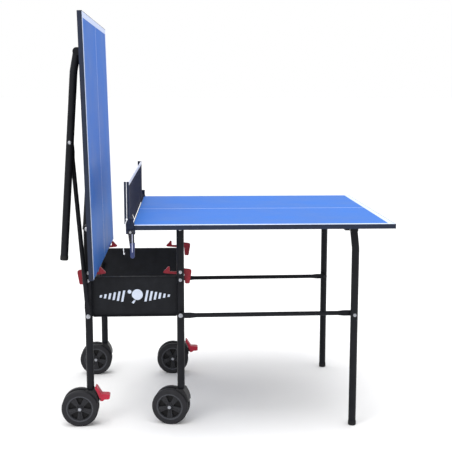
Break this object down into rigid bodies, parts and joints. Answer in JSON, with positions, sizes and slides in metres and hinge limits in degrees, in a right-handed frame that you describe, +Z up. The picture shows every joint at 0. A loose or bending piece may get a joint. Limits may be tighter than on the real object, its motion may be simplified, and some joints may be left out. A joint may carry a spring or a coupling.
{
  "type": "ping pong table",
  "caption": "Compact folding ping pong table on twin-wheel casters, one half folded upright, with clamp-on net, red latches and folding legs.",
  "frame": {"origin": "on the floor under the middle of the table's outline, with the left half folded up and the right half down", "axes": "+X along the table from the folded half to the half that is down, +Y across the table to its far side, +Z up"},
  "size_m": [1.186, 0.9728, 1.4795],
  "materials": {
    "frame_paint": "black powder coat, satin",
    "panel_paint": "black powder coat, satin",
    "bolt_steel": "bright zinc plate",
    "table_top": "blue lacquered board with white lines, satin",
    "edging": "dark navy edge band",
    "black_plastic": "black moulded plastic",
    "foot_rubber": "black rubber",
    "net_fabric": "dark navy knotted nylon mesh",
    "net_tape": "white woven tape",
    "net_cord": "white braided cord",
    "clamp_paint": "black enamel",
    "lever_plastic": "black lever with a dark blue grip",
    "red_plastic": "red moulded plastic",
    "wheel_plastic": "dark grey moulded plastic"
  },
  "bodies": {
    "chassis": {"near_left_upright": "frame_paint", "near_right_upright": "frame_paint", "far_left_upright": "frame_paint", "far_right_upright": "frame_paint", "near_side_panel": "panel_paint", "far_side_panel": "panel_paint", "chassis_cross_tubes": "frame_paint", "hinge_bolts": "bolt_steel", "brace_bolts": "bolt_steel", "latch_and_panel_bolts": "bolt_steel"},
    "left_half": {"left_board": "table_top", "left_edging": "edging", "left_under_frame": "frame_paint", "left_leg_saddles": "black_plastic"},
    "left_legs": {"left_near_leg": "frame_paint", "left_far_leg": "frame_paint", "left_leg_cross_tube": "frame_paint", "left_foot_caps": "foot_rubber", "left_leg_bolts": "bolt_steel"},
    "left_braces": {"left_near_brace": "frame_paint", "left_far_brace": "frame_paint", "left_brace_bushes": "black_plastic"},
    "right_half": {"right_board": "table_top", "right_edging": "edging", "right_under_frame": "frame_paint", "right_leg_saddles": "black_plastic", "net_mesh": "net_fabric", "net_tape": "net_tape", "net_posts": "clamp_paint", "net_clamps": "clamp_paint", "net_tension_cord": "net_cord", "net_cord_end": "net_cord"},
    "right_legs": {"right_near_leg": "frame_paint", "right_far_leg": "frame_paint", "right_leg_cross_tube": "frame_paint", "right_foot_caps": "foot_rubber", "right_leg_bolts": "bolt_steel"},
    "right_braces": {"right_near_brace": "frame_paint", "right_far_brace": "frame_paint", "right_brace_bushes": "black_plastic"},
    "near_lever": {"near_clamp_lever": "lever_plastic"},
    "far_lever": {"far_clamp_lever": "lever_plastic"},
    "near_left_latch": {"near_left_latch": "red_plastic"},
    "near_left_caster": {"near_left_caster_fork": "black_plastic", "near_left_axle": "bolt_steel"},
    "near_left_wheel_pair": {"near_left_wheels": "wheel_plastic"},
    "near_right_latch": {"near_right_latch": "red_plastic"},
    "near_right_caster": {"near_right_caster_fork": "black_plastic", "near_right_axle": "bolt_steel"},
    "near_right_wheel_pair": {"near_right_wheels": "wheel_plastic"},
    "far_left_latch": {"far_left_latch": "red_plastic"},
    "far_left_caster": {"far_left_caster_fork": "black_plastic", "far_left_axle": "bolt_steel"},
    "far_left_wheel_pair": {"far_left_wheels": "wheel_plastic"},
    "far_right_latch": {"far_right_latch": "red_plastic"},
    "far_right_caster": {"far_right_caster_fork": "black_plastic", "far_right_axle": "bolt_steel"},
    "far_right_wheel_pair": {"far_right_wheels": "wheel_plastic"},
    "near_left_pedal": {"near_left_brake_pedal": "red_plastic"},
    "far_right_pedal": {"far_right_brake_pedal": "red_plastic"}
  },
  "joints": [
    {"name": "left_fold", "type": "hinge", "parent": "chassis", "child": "left_half", "pos_m": [-0.488, 0, 0.73], "axis": [0, 1, 0], "range_deg": [-88.7, 0]},
    {"name": "left_leg_swing", "type": "hinge", "parent": "left_half", "child": "left_legs", "pos_m": [-0.50407, 0, 1.3498], "axis": [0, 1, 0], "range_deg": [0, 84.51]},
    {"name": "left_brace_swing", "type": "hinge", "parent": "chassis", "child": "left_braces", "pos_m": [-0.488, 0, 0.413], "axis": [0, 1, 0], "range_deg": [-85.48, 0]},
    {"name": "right_fold", "type": "hinge", "parent": "chassis", "child": "right_half", "pos_m": [-0.156, 0, 0.73], "axis": [0, -1, 0], "range_deg": [0, 88.7]},
    {"name": "right_leg_swing", "type": "hinge", "parent": "right_half", "child": "right_legs", "pos_m": [0.464, 0, 0.728], "axis": [0, -1, 0], "range_deg": [-84.51, 0]},
    {"name": "right_brace_swing", "type": "hinge", "parent": "chassis", "child": "right_braces", "pos_m": [-0.156, 0, 0.413], "axis": [0, -1, 0], "range_deg": [0, 85.48]},
    {"name": "near_left_latch_turn", "type": "hinge", "parent": "chassis", "child": "near_left_latch", "pos_m": [-0.488, -0.2903, 0.57], "axis": [0, -1, 0], "range_deg": [-25, 0]},
    {"name": "near_left_swivel", "type": "hinge", "parent": "chassis", "child": "near_left_caster", "pos_m": [-0.488, -0.3105, 0.129], "axis": [0, 0, 1], "continuous": true},
    {"name": "near_left_wheel_spin", "type": "hinge", "parent": "near_left_caster", "child": "near_left_wheel_pair", "pos_m": [-0.526, -0.3105, 0.067], "axis": [0, 1, 0], "continuous": true},
    {"name": "near_right_latch_turn", "type": "hinge", "parent": "chassis", "child": "near_right_latch", "pos_m": [-0.156, -0.2903, 0.57], "axis": [0, 1, 0], "range_deg": [-25, 0]},
    {"name": "near_right_swivel", "type": "hinge", "parent": "chassis", "child": "near_right_caster", "pos_m": [-0.156, -0.3105, 0.129], "axis": [0, 0, 1], "continuous": true},
    {"name": "near_right_wheel_spin", "type": "hinge", "parent": "near_right_caster", "child": "near_right_wheel_pair", "pos_m": [-0.19324, -0.30292, 0.067], "axis": [0.1994, 0.9799, 0], "continuous": true},
    {"name": "far_left_latch_turn", "type": "hinge", "parent": "chassis", "child": "far_left_latch", "pos_m": [-0.488, 0.2903, 0.57], "axis": [0, -1, 0], "range_deg": [-25, 0]},
    {"name": "far_left_swivel", "type": "hinge", "parent": "chassis", "child": "far_left_caster", "pos_m": [-0.488, 0.3105, 0.129], "axis": [0, 0, 1], "continuous": true},
    {"name": "far_left_wheel_spin", "type": "hinge", "parent": "far_left_caster", "child": "far_left_wheel_pair", "pos_m": [-0.526, 0.3105, 0.067], "axis": [0, 1, 0], "continuous": true},
    {"name": "far_right_latch_turn", "type": "hinge", "parent": "chassis", "child": "far_right_latch", "pos_m": [-0.156, 0.2903, 0.57], "axis": [0, 1, 0], "range_deg": [-25, 0]},
    {"name": "far_right_swivel", "type": "hinge", "parent": "chassis", "child": "far_right_caster", "pos_m": [-0.156, 0.3105, 0.129], "axis": [0, 0, 1], "continuous": true},
    {"name": "far_right_wheel_spin", "type": "hinge", "parent": "far_right_caster", "child": "far_right_wheel_pair", "pos_m": [-0.194, 0.3105, 0.067], "axis": [0, 1, 0], "continuous": true},
    {"name": "near_left_pedal_press", "type": "hinge", "parent": "near_left_caster", "child": "near_left_pedal", "pos_m": [-0.452, -0.3105, 0.1], "axis": [0, 1, 0], "range_deg": [0, 12]},
    {"name": "far_right_pedal_press", "type": "hinge", "parent": "far_right_caster", "child": "far_right_pedal", "pos_m": [-0.12, 0.3105, 0.1], "axis": [0, 1, 0], "range_deg": [0, 12]},
    {"name": "near_clamp_turn", "type": "hinge", "parent": "right_half", "child": "near_lever", "pos_m": [-0.322, -0.4765, 0.74], "axis": [-1, 0, 0], "range_deg": [0, 90]},
    {"name": "far_clamp_turn", "type": "hinge", "parent": "right_half", "child": "far_lever", "pos_m": [-0.322, 0.4765, 0.74], "axis": [1, 0, 0], "range_deg": [0, 90]}
  ],
  "couplings": [
    {"joint": "left_leg_swing", "follows": "left_fold", "ratio": -0.95223},
    {"joint": "left_brace_swing", "follows": "left_fold", "ratio": 0.96308},
    {"joint": "right_leg_swing", "follows": "right_fold", "ratio": -0.95223},
    {"joint": "right_brace_swing", "follows": "right_fold", "ratio": 0.96308}
  ]
}
